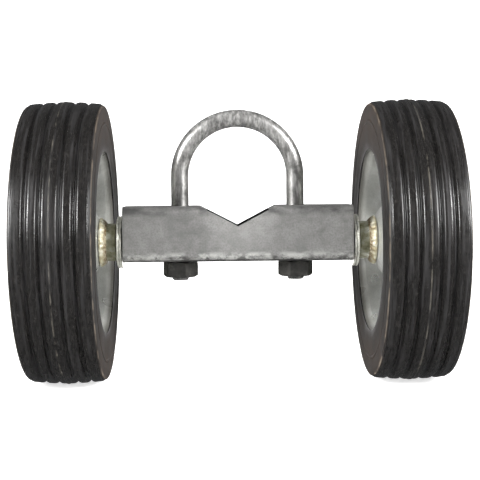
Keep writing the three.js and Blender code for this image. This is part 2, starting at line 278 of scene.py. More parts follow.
def finished(made, *tools, bevel=0.0):
    """Applies a small bevel to sharp edges, then cuts the piece with other meshes, which go."""
    if bevel:
        edge = made.modifiers.new("edge", "BEVEL")
        edge.width = bevel
        edge.segments = 2
        edge.limit_method = "ANGLE"
        edge.angle_limit = math.radians(38)
    for tool in tools:
        cut = made.modifiers.new("cut", "BOOLEAN")
        cut.operation = "DIFFERENCE"
        cut.solver = "EXACT"
        cut.object = tool
    shape = made.evaluated_get(bpy.context.evaluated_depsgraph_get())
    mesh = bpy.data.meshes.new_from_object(shape)
    made.modifiers.clear()
    made.data = mesh
    mesh.polygons.foreach_set("use_smooth", np.ones(len(mesh.polygons), bool))
    mesh.set_sharp_from_angle(angle=math.radians(32))
    for tool in tools:
        bpy.data.objects.remove(tool)
    return made


def cutter(line, radii, across, steps=48):
    """A round cutting tool along a line, with a radius at each station."""
    points, faces = along(np.array(line, float), np.array(radii)[:, None], across, steps)
    mesh = bpy.data.meshes.new("cutter")
    mesh.from_pydata(points.tolist(), [], [face for part in faces for face in part.tolist()])
    made = bpy.data.objects.new("cutter", mesh)
    bpy.context.scene.collection.objects.link(made)
    bpy.context.view_layer.update()
    return made


# ---- Material helpers ---------------------------------------------------------------------

def tint(code):
    """An sRGB hex colour as linear values: the curve of the sRGB standard, undone."""
    values = [int(code[k:k + 2], 16) / 255 for k in (1, 3, 5)]
    return [v / 12.92 if v <= 0.04045 else ((v + 0.055) / 1.055) ** 2.4 for v in values] + [1.0]


def feed(node, inputs):
    """Gives sockets, by name or number, a value, a hex colour or another node's output."""
    for socket, value in inputs.items():
        if isinstance(value, bpy.types.NodeSocket):
            node.id_data.links.new(value, node.inputs[socket])
        else:
            node.inputs[socket].default_value = tint(value) if isinstance(value, str) else value


def add(tree, kind, inputs, stops=(), **settings):
    """Adds a node with its settings and links, and returns its outputs. stops are those of a
    colour ramp, each [place, hex colour or grey]."""
    made = tree.nodes.new("ShaderNode" + kind)
    for k, (place, shade) in enumerate(stops):
        elements = made.color_ramp.elements
        stop = elements[k] if k < 2 else elements.new(place)
        stop.position = place
        stop.color = tint(shade) if isinstance(shade, str) else [shade] * 3 + [1]
    for key, value in settings.items():
        setattr(made, key, value)
    feed(made, inputs)
    return made.outputs


def start(name):
    """A new material: its node tree, its shader and its Object coordinates."""
    made = bpy.data.materials.new(name)
    made.use_nodes = True
    tree = made.node_tree
    tree.nodes.clear()
    shader = tree.nodes.new("ShaderNodeBsdfPrincipled")
    add(tree, "OutputMaterial", {"Surface": shader.outputs["BSDF"]})
    return made, tree, shader, add(tree, "TexCoord", {})["Object"]


def band(tree, value, centre, half, soft):
    """1 where value is within half of centre, falling to 0 over soft."""
    away = add(tree, "Math", {0: value, 1: centre}, operation="SUBTRACT")[0]
    away = add(tree, "Math", {0: away}, operation="ABSOLUTE")[0]
    return add(tree, "MapRange", {
        "Value": away, "From Min": half, "From Max": half + soft, "To Min": 1.0, "To Max": 0.0})[0]


def radius(tree, coords):
    """Distance from the axle line."""
    _, *sides = add(tree, "SeparateXYZ", {"Vector": coords})
    squares = [add(tree, "Math", {0: side, 1: side}, operation="MULTIPLY")[0] for side in sides]
    total = add(tree, "Math", dict(enumerate(squares)), operation="ADD")[0]
    return add(tree, "Math", {0: total}, operation="SQRT")[0]


def coat(tree, under, over, *masks):
    """Lays a colour over another, by the product of its masks."""
    share = masks[0]
    for mask in masks[1:]:
        share = add(tree, "Math", {0: share, 1: mask}, operation="MULTIPLY")[0]
    return add(tree, "Mix", {0: share, 6: under, 7: over}, data_type="RGBA")[2]


def relief(tree, distance, strength, *patterns):
    """A surface raised by patterns added up, each [pattern, its share]."""
    height = 0.0
    for pattern, share in patterns:
        part = add(tree, "Math", {0: pattern, 1: share}, operation="MULTIPLY")[0]
        height = add(tree, "Math", {0: height, 1: part}, operation="ADD")[0]
    return add(tree, "Bump", {"Height": height, "Distance": distance, "Strength": strength})[0]


# ---- Materials ----------------------------------------------------------------------------

def galvanised_tube():
    """Hot-dipped zinc gone dull: the eye gets a matte grey with cloudy patches, a smudged dark band
    along the top bend darkened as a painted reflection, a pale worn band low on each wall
    brightened as a painted reflection of the floor, dark scrapes low on each wall, and painted
    shade along the bottom edge."""
    made, tree, shader, coords = start("galvanised_tube")
    _, y, z = add(tree, "SeparateXYZ", {"Vector": coords})
    cloud = add(tree, "TexNoise", {
        "Vector": coords, "Scale": 1 / (14 * MM), "Detail": 5, "Roughness": 0.62})[0]
    grain = add(tree, "TexNoise", {
        "Vector": coords, "Scale": 1 / (1.3 * MM), "Detail": 3, "Roughness": 0.7})[0]
    colour = add(tree, "ValToRGB", {"Fac": cloud},
                 [(0.3, "#80807e"), (0.5, "#92918f"), (0.7, "#a4a3a1")])[0]
    colour = coat(tree, colour, "#686866",
                  add(tree, "ValToRGB", {"Fac": grain}, [(0.44, 0.0), (0.64, 0.42)])[0])

    # Marks, each with its colour, its pattern's stretch, size, detail and roughness, the stops
    # that thin it out, and the middle, half height and fade of the band that it keeps to.
    low, high = TUBE_LOW[2], TUBE_HIGH[2]
    for code, stretch, size, detail, rough, stops, keeps_to in (
        ("#595857", (0.6, 1, 1.3), 12, 6, 0.72, [(0.54, 0.0), (0.72, 0.5)], None),
        # Painted reflection, with smudges: a dark band along the top bend, darkened for the dark room
        # that the bend mirrors.
        ("#4f4f4e", (0.5, 1, 1), 9, 5, 0.65, [(0.4, 0.1), (0.62, 0.85)], (high - 3 * MM, 1.2, 3.5)),
        # Painted reflection, with wear: a pale band low on each wall, brightened for the floor that the
        # bottom bend mirrors.
        ("#cbcbc7", (0.6, 1, 1), 6, 6, 0.72, [(0.42, 0.0), (0.56, 0.9)], (low + 3.6 * MM, 1.2, 2.6)),
        ("#4a4947", (1, 1, 1), 8, 6, 0.75, [(0.5, 0.0), (0.6, 0.8)], (low + 2.4 * MM, 0.8, 1.6)),
        # Painted shade: a dark line along the bottom edge, where the tube turns under.
        ("#3c3c3b", (1, 1, 1), 7, 4, 0.55, [(0.35, 0.3), (0.55, 0.9)], (low + 0.4 * MM, 0.7, 0.6)),
    ):
        drawn_out = add(tree, "Mapping", {"Vector": coords, "Scale": stretch})[0]
        pattern = add(tree, "TexNoise", {
            "Vector": drawn_out, "Scale": 1 / (size * MM), "Detail": detail, "Roughness": rough})[0]
        masks = [add(tree, "ValToRGB", {"Fac": pattern}, stops)[0]]
        if keeps_to:
            middle, half, fade = keeps_to
            masks.insert(0, band(tree, z, middle, half * MM, fade * MM))
        colour = coat(tree, colour, code, *masks)

    # Painted shade: the bore of the tube is coloured dark, for the shade and grime it holds.
    deep = TUBE_HALF - TUBE_WALL + 0.15 * MM
    colour = coat(tree, colour, "#242423", band(tree, y, 0.0, deep, 0.1 * MM),
                  band(tree, z, TUBE_Z, deep, 0.1 * MM))
    feed(shader, {
        "Base Color": colour,
        "Roughness": add(tree, "ValToRGB", {"Fac": cloud}, [(0.3, 0.62), (0.7, 0.46)])[0],
        "Metallic": 0.7,
        "Normal": relief(tree, 0.12 * MM, 0.5, (grain, 0.4), (cloud, 1.0)),
    })
    return made


def zinc_rod():
    """Bright plated rod, drawn and bent: pale and dark streaks with dark scuffs, and painted shade
    that darkens the legs towards the tube."""
    made, tree, shader, coords = start("zinc_rod")
    drawn_out = add(tree, "Mapping", {"Vector": coords, "Scale": (1, 1, 0.25)})[0]
    streak = add(tree, "TexNoise", {
        "Vector": drawn_out, "Scale": 1 / (2.2 * MM), "Detail": 4, "Roughness": 0.6})[0]
    patch = add(tree, "TexNoise", {
        "Vector": coords, "Scale": 1 / (9 * MM), "Detail": 4, "Roughness": 0.6})[0]
    pits = add(tree, "TexNoise", {
        "Vector": coords, "Scale": 1 / (0.8 * MM), "Detail": 2, "Roughness": 0.6})[0]
    colour = add(tree, "ValToRGB", {"Fac": streak},
                 [(0.32, "#706f6d"), (0.5, "#9f9e9c"), (0.68, "#d4d3d0")])[0]
    colour = coat(tree, colour, "#4b4b49",
                  add(tree, "ValToRGB", {"Fac": patch}, [(0.5, 0.0), (0.66, 0.7)])[0])
    # Painted shade: the legs are coloured darker lower down, towards the tube.
    _, _, z = add(tree, "SeparateXYZ", {"Vector": coords})
    height = add(tree, "Math", {0: z, 1: ROD_HIGH.z}, operation="DIVIDE")[0]
    colour = coat(tree, colour, "#565553",
                  add(tree, "ValToRGB", {"Fac": height}, [(0.3, 0.45), (0.8, 0.0)])[0])
    feed(shader, {
        "Base Color": colour,
        "Roughness": add(tree, "ValToRGB", {"Fac": streak}, [(0.3, 0.45), (0.7, 0.28)])[0],
        "Metallic": 0.75,
        "Normal": relief(tree, 0.1 * MM, 0.5, (streak, 1.0), (pits, 0.3)),
    })
    return made


def dark_nut():
    """Plain steel, oiled and browned: nearly black, with cloudy patches of dull grey wear."""
    made, tree, shader, coords = start("dark_nut")
    cloud = add(tree, "TexNoise", {
        "Vector": coords, "Scale": 1 / (5 * MM), "Detail": 4, "Roughness": 0.6})[0]
    grain = add(tree, "TexNoise", {
        "Vector": coords, "Scale": 1 / (0.9 * MM), "Detail": 3, "Roughness": 0.6})[0]
    feed(shader, {
        "Base Color": add(tree, "ValToRGB", {"Fac": cloud},
                          [(0.3, "#2b2b29"), (0.55, "#3b3a38"), (0.75, "#5c5b56")])[0],
        "Roughness": add(tree, "ValToRGB", {"Fac": grain}, [(0.3, 0.36), (0.7, 0.58)])[0],
        "Metallic": 0.45,
        "Specular IOR Level": 0.3,
        "Normal": relief(tree, 0.12 * MM, 0.6, (cloud, 1.0), (grain, 0.4)),
    })
    return made


def axle_bar():
    """Bright drawn bar with a film of grease: fine rings, and a warm grey where it is thicker."""
    made, tree, shader, coords = start("axle_bar")
    squeezed = add(tree, "Mapping", {"Vector": coords, "Scale": (8, 1, 1)})[0]
    rings = add(tree, "TexNoise", {
        "Vector": squeezed, "Scale": 1 / (3 * MM), "Detail": 4, "Roughness": 0.7})[0]
    cloud = add(tree, "TexNoise", {
        "Vector": coords, "Scale": 1 / (8 * MM), "Detail": 3, "Roughness": 0.6})[0]
    feed(shader, {
        "Base Color": add(tree, "ValToRGB", {"Fac": cloud},
                          [(0.3, "#7a766b"), (0.6, "#a09e98"), (0.8, "#bab9b4")])[0],
        "Roughness": add(tree, "ValToRGB", {"Fac": rings}, [(0.3, 0.34), (0.7, 0.5)])[0],
        "Metallic": 0.65,
        "Normal": relief(tree, 0.05 * MM, 0.4, (rings, 1.0)),
    })
    return made


def weld_metal():
    """Plated weld bead: cream-grey crests, and brown heat tint close to the hub."""
    made, tree, shader, coords = start("weld_metal")
    blotch = add(tree, "TexNoise", {
        "Vector": coords, "Scale": 1 / (4 * MM), "Detail": 4, "Roughness": 0.6})[0]
    lump = add(tree, "TexNoise", {
        "Vector": coords, "Scale": 1 / (1.6 * MM), "Detail": 3, "Roughness": 0.6})[0]
    colour = add(tree, "ValToRGB", {"Fac": blotch},
                 [(0.32, "#857a5e"), (0.5, "#a29d86"), (0.7, "#c2c0b2")])[0]
    colour = coat(tree, colour, "#5e4a2e",
                  band(tree, radius(tree, coords), HUB_R + 0.9 * MM, 0.8 * MM, 1.3 * MM),
                  add(tree, "ValToRGB", {"Fac": lump}, [(0.42, 1.0), (0.6, 0.3)])[0])
    feed(shader, {
        "Base Color": colour,
        "Roughness": add(tree, "ValToRGB", {"Fac": lump}, [(0.3, 0.34), (0.7, 0.55)])[0],
        "Metallic": 0.35,
        "Normal": relief(tree, 0.5 * MM, 0.7, (lump, 1.0)),
    })
    return made


def zinc_washer():
    """Stamped and plated sheet: a creamy bright face with cloudy scuffs and dark specks."""
    made, tree, shader, coords = start("zinc_washer")
    scuff = add(tree, "TexNoise", {
        "Vector": coords, "Scale": 1 / (2.5 * MM), "Detail": 4, "Roughness": 0.7})[0]
    speck = add(tree, "TexNoise", {
        "Vector": coords, "Scale": 1 / (1.1 * MM), "Detail": 3, "Roughness": 0.6})[0]
    colour = add(tree, "ValToRGB", {"Fac": scuff},
                 [(0.3, "#b5b4a9"), (0.55, "#d5d5cb"), (0.75, "#ecece6")])[0]
    colour = coat(tree, colour, "#7a7566",
                  add(tree, "ValToRGB", {"Fac": speck}, [(0.58, 0.0), (0.7, 0.6)])[0])
    feed(shader, {
        "Base Color": colour,
        "Roughness": add(tree, "ValToRGB", {"Fac": scuff}, [(0.3, 0.45), (0.7, 0.28)])[0],
        "Metallic": 0.6,
        "Normal": relief(tree, 0.1 * MM, 0.4, (scuff, 1.0)),
    })
    return made


def hub_steel():
    """Welded-seam tube, plated thin: silver with an olive-yellow cast and a few brown spots."""
    made, tree, shader, coords = start("hub_steel")
    stain = add(tree, "TexNoise", {
        "Vector": coords, "Scale": 1 / (7 * MM), "Detail": 4, "Roughness": 0.6})[0]
    spots = add(tree, "TexNoise", {
        "Vector": coords, "Scale": 1 / (2.4 * MM), "Detail": 3, "Roughness": 0.6})[0]
    colour = add(tree, "ValToRGB", {"Fac": stain},
                 [(0.32, "#5f5d42"), (0.48, "#8f8e78"), (0.7, "#c3c3b8")])[0]
    colour = coat(tree, colour, "#6b4a2c",
                  add(tree, "ValToRGB", {"Fac": spots}, [(0.6, 0.0), (0.7, 0.75)])[0])
    feed(shader, {
        "Base Color": colour,
        "Roughness": add(tree, "ValToRGB", {"Fac": stain}, [(0.3, 0.42), (0.7, 0.25)])[0],
        "Metallic": 0.65,
        "Normal": relief(tree, 0.08 * MM, 0.5, (spots, 1.0)),
    })
    return made


def disc_zinc():
    """Pressed and plated sheet: soft grey zinc with shallow dents and faint rings from the
    pressing, and a dark line where the rim meets the rubber: dirt, and painted shade in the crease."""
    made, tree, shader, coords = start("disc_zinc")
    r = radius(tree, coords)
    cloud = add(tree, "TexNoise", {
        "Vector": coords, "Scale": 1 / (16 * MM), "Detail": 5, "Roughness": 0.6})[0]
    grain = add(tree, "TexNoise", {
        "Vector": coords, "Scale": 1 / (1.2 * MM), "Detail": 3, "Roughness": 0.7})[0]
    dents = add(tree, "TexNoise", {
        "Vector": coords, "Scale": 1 / (22 * MM), "Detail": 1, "Roughness": 0.4})[0]
    rings = add(tree, "Math", {0: r, 1: TAU / (3.1 * MM)}, operation="MULTIPLY")[0]
    rings = add(tree, "Math", {0: rings}, operation="SINE")[0]
    colour = add(tree, "ValToRGB", {"Fac": cloud},
                 [(0.3, "#c9cac3"), (0.5, "#dedfd9"), (0.7, "#f0f1ed")])[0]
    colour = coat(tree, colour, "#85867c",
                  add(tree, "ValToRGB", {"Fac": grain}, [(0.45, 0.0), (0.65, 0.15)])[0])
    # Dirt, and painted shade: a dark ring where the rim meets the rubber stands for the grime and the
    # shade in the crease between them; the metal is dulled there too.
    dirt_and_shade = band(tree, r, 65.8 * MM, 1.4 * MM, 2.2 * MM)
    dirt_and_shade = add(tree, "Math", {0: dirt_and_shade, 1: 0.85}, operation="MULTIPLY")[0]
    dulled = add(tree, "Math", {0: dirt_and_shade, 1: 0.8}, operation="MULTIPLY")[0]
    feed(shader, {
        "Base Color": coat(tree, colour, "#35302a", dirt_and_shade),
        "Roughness": add(tree, "ValToRGB", {"Fac": dents}, [(0.3, 0.36), (0.7, 0.27)])[0],
        "Metallic": add(tree, "Math", {0: 0.8, 1: dulled}, operation="SUBTRACT")[0],
        "Normal": relief(tree, 0.6 * MM, 0.4, (dents, 1.0), (rings, 0.02)),
    })
    return made


def tyre_rubber():
    """Solid moulded rubber: black with a soft sheen on the tread, grey scuffing on the ribs,
    brown dust on the sidewalls, thicker above and below the hub as a painted highlight, and a
    cream line along the shoulder where tread turns to sidewall."""
    made, tree, shader, coords = start("tyre_rubber")
    x, _, z = add(tree, "SeparateXYZ", {"Vector": coords})
    r = radius(tree, coords)
    across = add(tree, "Math", {0: x}, operation="ABSOLUTE")[0]
    across = add(tree, "Math", {0: across, 1: WHEEL_X}, operation="SUBTRACT")[0]
    across = add(tree, "Math", {0: across}, operation="ABSOLUTE")[0]
    sidewall = add(tree, "MapRange", {
        "Value": across, "From Min": 25.0 * MM, "From Max": 26.2 * MM, "To Min": 0.0, "To Max": 1.0})[0]
    dust = add(tree, "TexNoise", {
        "Vector": coords, "Scale": 1 / (12 * MM), "Detail": 5, "Roughness": 0.62})[0]
    grain = add(tree, "TexNoise", {
        "Vector": coords, "Scale": 1 / (0.7 * MM), "Detail": 2, "Roughness": 0.6})[0]
    squeezed = add(tree, "Mapping", {"Vector": coords, "Scale": (2.5, 1, 1)})[0]
    scuff = add(tree, "TexNoise", {
        "Vector": squeezed, "Scale": 1 / (3.5 * MM), "Detail": 5, "Roughness": 0.7})[0]
    drawn_out = add(tree, "Mapping", {"Vector": coords, "Scale": (1, 0.04, 0.04)})[0]
    lines = add(tree, "TexNoise", {
        "Vector": drawn_out, "Scale": 1 / (1.6 * MM), "Detail": 3, "Roughness": 0.6})[0]
    colour = add(tree, "ValToRGB", {"Fac": scuff},
                 [(0.35, "#100f0f"), (0.55, "#161514"), (0.72, "#262423")])[0]
    colour = coat(tree, colour, "#2e2d2e",
                  add(tree, "ValToRGB", {"Fac": lines}, [(0.5, 0.0), (0.66, 0.45)])[0])
    # Brown dust on the sidewall, laid on more thickly above and below the hub: the dust is real,
    # and its rise towards top and bottom is a painted highlight for the sheen the sidewall catches
    # there.
    height = add(tree, "Math", {0: z}, operation="ABSOLUTE")[0]
    height = add(tree, "Math", {0: height, 1: TYRE_R}, operation="DIVIDE")[0]
    colour = coat(tree, colour, "#332922",
                  add(tree, "ValToRGB", {"Fac": height}, [(0.35, 0.15), (0.85, 0.95)])[0],
                  add(tree, "ValToRGB", {"Fac": dust}, [(0.35, 0.35), (0.65, 1.0)])[0], sidewall)
    # A cream line along the rounded shoulder, where tread turns to sidewall, broken up by the dust
    # pattern.
    colour = coat(tree, colour, "#6f6456", band(tree, across, 26.2 * MM, 0.15 * MM, 0.5 * MM),
                  band(tree, r, 97.2 * MM, 0.5 * MM, 1.2 * MM),
                  add(tree, "ValToRGB", {"Fac": dust}, [(0.4, 0.0), (0.6, 0.6)])[0])
    # The parting line along the middle of the tread is dusty too.
    colour = coat(tree, colour, "#5a564e", band(tree, across, 0.0, 0.3 * MM, 0.3 * MM),
                  add(tree, "ValToRGB", {"Fac": dust}, [(0.42, 0.0), (0.62, 0.5)])[0])
    sheen = add(tree, "Math", {
        0: add(tree, "ValToRGB", {"Fac": dust}, [(0.3, 0.16), (0.7, 0.27)])[0],
        1: add(tree, "ValToRGB", {"Fac": lines}, [(0.35, 0.0), (0.65, 0.16)])[0],
    }, operation="ADD")[0]
    duller = add(tree, "Math", {0: sidewall, 1: 0.5}, operation="MULTIPLY")[0]
    feed(shader, {
        "Base Color": colour,
        "Roughness": add(tree, "Math", {0: sheen, 1: duller}, operation="ADD")[0],
        "Specular IOR Level": 0.36,
        "Normal": relief(tree, 0.2 * MM, 0.5, (scuff, 0.6), (grain, 0.3), (lines, 0.5)),
    })
    return made


def bush_bronze():
    """Oil-filled sintered bronze: brown-gold with darker pores and an oily satin surface. Real
    pores are some hundredths of a millimetre, and are drawn coarser here so that they show."""
    made, tree, shader, coords = start("bush_bronze")
    cloud = add(tree, "TexNoise", {
        "Vector": coords, "Scale": 1 / (4 * MM), "Detail": 4, "Roughness": 0.6})[0]
    pores = add(tree, "TexNoise", {
        "Vector": coords, "Scale": 1 / (0.6 * MM), "Detail": 2, "Roughness": 0.6})[0]
    colour = add(tree, "ValToRGB", {"Fac": cloud},
                 [(0.3, "#80613a"), (0.55, "#a07e4e"), (0.75, "#bb9b66")])[0]
    colour = coat(tree, colour, "#4a3821",
                  add(tree, "ValToRGB", {"Fac": pores}, [(0.55, 0.0), (0.68, 0.7)])[0])
    feed(shader, {
        "Base Color": colour,
        "Roughness": add(tree, "ValToRGB", {"Fac": cloud}, [(0.3, 0.5), (0.7, 0.34)])[0],
        "Metallic": 1.0,
        "Normal": relief(tree, 0.08 * MM, 0.5, (pores, 1.0)),
    })
    return made


def plain_stage(name, colour, glow):
    """Studio surface: a plain even tone that glows a little by itself."""
    made, _, shader, _ = start(name)
    feed(shader, {"Base Color": colour, "Roughness": 0.9, "Emission Color": colour,
                  "Emission Strength": glow})
    return made


# ---- Shapes -------------------------------------------------------------------------------

def held(outline, reach):
    """A closed outline with a point put in near both ends of each long side, and more between,
    so that smooth shading stays flat along the sides and turns only at the corners."""
    outline = np.asarray(outline, float)
    line = []
    for here, there in zip(outline, np.roll(outline, -1, 0)):
        line.append(here)
        span = np.linalg.norm(there - here)
        if span > 4 * reach:
            stops = [reach / span, 1 - reach / span]
            more = int(span / (8 * reach))
            stops[1:1] = [stops[0] + (stops[1] - stops[0]) * k / (more + 1)
                          for k in range(1, more + 1)]
            line += [here + (there - here) * t for t in stops]
    return np.array(line)


def disc_line(offset):
    """A pressed disc's face, moved back along its own normal by offset."""
    line = smooth_line(DISC_FACE, 10)
    run = np.gradient(line, axis=0)
    run /= np.linalg.norm(run, axis=1, keepdims=True)
    return line + offset * np.stack([run[:, 1], -run[:, 0]], -1)


def disc_outline():
    """Face and back of the sheet, with its two cut edges rounded by a point between them."""
    face, back = disc_line(0), disc_line(DISC_THICK)[::-1]
    ends = []
    for near, far, inward in ((face[-1], back[0], face[-2]), (back[-1], face[0], back[-2])):
        run = near - inward
        ends.append((near + far) / 2 + run / np.linalg.norm(run) * 0.5 * MM)
    return np.vstack([face, ends[:1], back, ends[1:]])


def tread_r(u):
    """Tread radius at a distance from the centre plane: a shallow crown below the ridge line."""
    return TYRE_R - RIDGE - CROWN_DROP * (u / CROWN_HALF) ** 2


def tyre_outline():
    """Half a section from the middle of the tread round to the base, and its mirror image.
    Five ribs between narrow grooves, a raised parting line, a shallow step at the shoulder,
    a moulded ridge on the sidewall, the lip over the disc's rim and the gripped wedge."""
    half = [[0.25 * MM, TYRE_R, 0.1 * MM], [0.5 * MM, tread_r(0), 0.15 * MM]]
    for g in GROOVES:
        for u, sink, fillet in GROOVE_SHAPE:
            place = g + u * MM
            half.append([place, tread_r(place) - sink * GROOVE_DEPTH, fillet * MM])
    half += [[SHOULDER, tread_r(SHOULDER), 0.5 * MM],
             [SHOULDER + 0.5 * MM, tread_r(SHOULDER) - 0.6 * MM, 0.3 * MM]]
    half += SIDEWALL.tolist()
    back = disc_line(DISC_THICK + 0.15 * MM)
    half += [[u, r, 0] for u, r in back[::4] if TYRE_BASE_R + 1 * MM < r < SIDEWALL[-1, 1]]
    half.append([max(back[back[:, 1] > TYRE_BASE_R][-1][0], 1 * MM), TYRE_BASE_R, 0.4 * MM])
    mirrored = [[-u, r, f] for u, r, f in reversed(half)]
    return held(filleted(half + mirrored, 4), 0.3 * MM)


def washer_outline(low, high, bore):
    """Flat ring with its punched edges rolled over."""
    return held(filleted([
        [low[0], bore, 0.2 * MM], [high[0], bore, 0.2 * MM], [high[0], high[2], 0.45 * MM],
        [low[0], high[2], 0.45 * MM],
    ], 4), 0.2 * MM)


def about(sign, points, faces):
    """Shapes drawn for the +X end, turned half round about Z for the other end."""
    turn = np.array([sign, sign, 1.0])
    return points * turn, faces


def moved(outline, x, sign=1):
    """An outline put at x along the axle, turned about to face the other way if sign is -1."""
    return np.stack([outline[:, 0] * sign + x, outline[:, 1]], -1)


def make_wheels(looks):
    """Tyre, hub, discs and beads: outlines carried round the axle line. Each is a little uneven,
    by a sum of sines of the angle; the beads add overlapping ripples, the size of sin(lap)."""
    disc, tyre = disc_outline(), tyre_outline()
    hub = held(filleted([
        [-HUB_HALF, HUB_BORE, 0.3 * MM], [HUB_HALF, HUB_BORE, 0.3 * MM],
        [HUB_HALF, HUB_R, 0.5 * MM], [-HUB_HALF, HUB_R, 0.5 * MM],
    ], 4), 0.3 * MM)
    bead = held(filleted(HUB_BEAD, 5), 0.3 * MM)

    def pressed(x, r, a):
        return 0.06 * MM * ripple(a) + 0 * x, 0.05 * MM * ripple(a) + 0 * x

    def moulded(x, r, a):
        lean = 0.12 * MM * ripple(a, waves=((2, 0.6, 0.4), (5, 0.4, 2.2))) * (r < 96 * MM)
        return lean, -np.abs(0.08 * MM * ripple(a) * (r < 98 * MM))

    def deposited(x, r, a):
        lap = 22 * a / TAU + 0.35 * ripple(a, waves=((2, 0.5, 0.2), (5, 0.5, 1.1)))
        coin = np.abs(np.sin(np.pi * lap)) - 0.5
        proud = np.clip((r - 13.7 * MM) / (2.0 * MM), 0, 1)
        outward = 0.25 * MM * coin * proud * np.sign(x - WHEEL_X)
        return outward, 0.3 * MM * (coin + 0.8 * ripple(a)) * proud

    for side, sign in SIDES:
        body = f"{side}_wheel"
        points, faces = about(sign, *turned(moved(tyre, WHEEL_X), 288, moulded))
        piece(f"rubber_tyre_{side}", points, [faces], looks["tyre_rubber"], body, [f"tyre_{side}"],
              sharp=40)
        points, faces = about(sign, *turned(moved(hub, WHEEL_X), 96, pressed))
        piece(f"hub_{side}", points, [faces], looks["hub_steel"], body, [f"hub_tube_{side}"])
        for face, way in (("inner", -1), ("outer", 1)):
            points, faces = about(sign, *turned(moved(disc, WHEEL_X, way), 192, pressed))
            piece(f"pressed_disc_{face}_{side}", points, [faces], looks["disc_zinc"], body,
                  [f"disc_{face}_{side}"], sharp=50)
            points, faces = about(sign, *turned(moved(bead, WHEEL_X, way), 264, deposited))
            piece(f"hub_bead_{face}_{side}", points, [faces], looks["weld_metal"], body,
                  [f"hub_weld_{face}_{side}"], sharp=60)


def make_axles(looks):
    """Bars, washers, split pins and floor beads at both ends of the carrier."""
    for side, sign in SIDES:
        # Bar, chamfered at both ends, with the hole for the split pin.
        inner = [AXLE_LOW.x, AXLE_LOW.x + AXLE_CHAMFER / 2]
        outer = [AXLE_HIGH.x - AXLE_CHAMFER, AXLE_HIGH.x - AXLE_CHAMFER / 2, AXLE_HIGH.x]
        between = np.linspace(inner[-1] + 3 * MM, outer[0] - 3 * MM, 24)
        line = np.array([[sign * x, 0, 0] for x in (*inner, *between, *outer)])
        radii = np.full(len(line), AXLE_R)
        radii[[0, -2, -1]] -= np.array([0.5, 0.375, 1.0]) * AXLE_CHAMFER
        points, faces = along(line, radii[:, None], (0, 1, 0), 72)
        bar = piece(f"axle_bar_{side}", points, faces, looks["axle_bar"], "carrier",
                    [f"stub_axle_{side}"])
        hole = cutter([[sign * PIN_X, 0, -2 * AXLE_R], [sign * PIN_X, 0, 2 * AXLE_R]],
                      [PIN_HOLE_R] * 2, (0, 1, 0), 24)
        finished(bar, hole)

        # Washers: rings with rolled edges, a little wavy where the punch tore the sheet.
        def stamped(x, r, a, phase=sign):
            burr = ripple(a + phase, waves=((2, 0.4, 0.3), (9, 0.35, 1.0), (23, 0.25, 2.0)))
            return 0.05 * MM * ripple(a + phase) + 0 * x, 0.12 * MM * (burr - 1) * (r > 15 * MM)

        for name in ("thrust_washer_a", "thrust_washer_b", "outer_washer"):
            low, high = (np.array(corner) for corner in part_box(f"{name}_right"))
            outline = washer_outline(low, high, WASHER_BORE_R)
            points, faces = about(sign, *turned(outline, 128, stamped))
            piece(f"{name}_plated_{side}", points, [faces], looks["zinc_washer"], "carrier",
                  [f"{name}_{side}"])

        # Split pin: one wire up a leg, round the eye and down again, its tips bent apart.
        a = np.radians(np.arange(-70, 251, 40))
        eye = np.stack([PIN_EYE_R * np.cos(a), PIN_EYE_Z + PIN_EYE_R * np.sin(a)], -1)
        flat = smooth_line(np.vstack([PIN_LEG, eye, PIN_LEG[::-1] * [-1, 1]]), 8)
        line = np.stack([np.full(len(flat), sign * PIN_X), flat[:, 0], flat[:, 1]], -1)
        points, faces = along(line, PIN_WIRE_R, (1, 0, 0), 16)
        piece(f"bent_split_pin_{side}", points, faces, looks["zinc_washer"], "carrier",
              [f"split_pin_{side}"], sharp=50)

        # Beads along the axle on the tube's floor: a tapered run of overlapping ripples.
        for place in ("front", "rear"):
            low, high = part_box(f"axle_weld_{place}_{side}")
            middle, half, r = (low + high) / 2, (high.x - low.x) / 2, (high.z - low.z) / 2
            s = np.linspace(-1, 1, 140)
            taper = np.sqrt(np.clip(1 - s ** 6, 0.01, 1))
            lap = 0.9 + 0.1 * np.abs(np.sin(s * half / (1.7 * MM) * math.pi))
            line = np.array(middle) + np.outer(s, [half, 0, 0])
            points, faces = along(line, (r * taper * lap)[:, None], (0, 1, 0), 20)
            piece(f"floor_bead_{place}_{side}", points, faces, looks["weld_metal"], "carrier",
                  [f"axle_weld_{place}_{side}"], sharp=60)


def make_u_bolt(looks):
    """Centre line up one leg, round half a circle, down the other. The radius of the bar at
    height z and angle a dips by the thread's depth in a triangle wave of z / pitch - a / turn."""
    low = ROD_LOW.z
    fine = np.arange(low, THREAD_TOP_Z, THREAD_PITCH / 10)
    leg = np.concatenate([fine, np.linspace(THREAD_TOP_Z, BEND_Z, 14)[:-1]])
    bend = np.linspace(math.pi, 0, 90)
    line = np.vstack([
        np.stack([np.full(len(leg), -LEG_X), 0 * leg, leg], -1),
        np.stack([LEG_X * np.cos(bend), 0 * bend, BEND_Z + LEG_X * np.sin(bend)], -1),
        np.stack([np.full(len(leg), LEG_X), 0 * leg, leg[::-1]], -1),
    ])
    steps = 48
    a = np.linspace(0, 1, steps, endpoint=False)[None, :]
    x, z = line[:, :1], line[:, 2:]
    wave = z / THREAD_PITCH - a * np.sign(x)
    tooth = np.abs((wave % 1) - 0.5) * 2
    threaded = np.clip((THREAD_TOP_Z - z) / (2 * THREAD_PITCH), 0, 1)
    r = ROD_R - THREAD_DEPTH * np.clip(tooth * 1.2 - 0.1, 0, 1) * threaded
    r = np.minimum(r, ROD_R - ROD_CHAMFER + (z - low))
    flattened = 1 - 0.012 * np.clip(z / BEND_Z - 1, 0, 1) * np.cos(2 * TAU * a)
    points, faces = along(line, r * flattened, (0, 1, 0), steps)
    piece("u_bolt_rod", points, faces, looks["zinc_rod"], "u_bolt", ["u_bolt"], sharp=50)


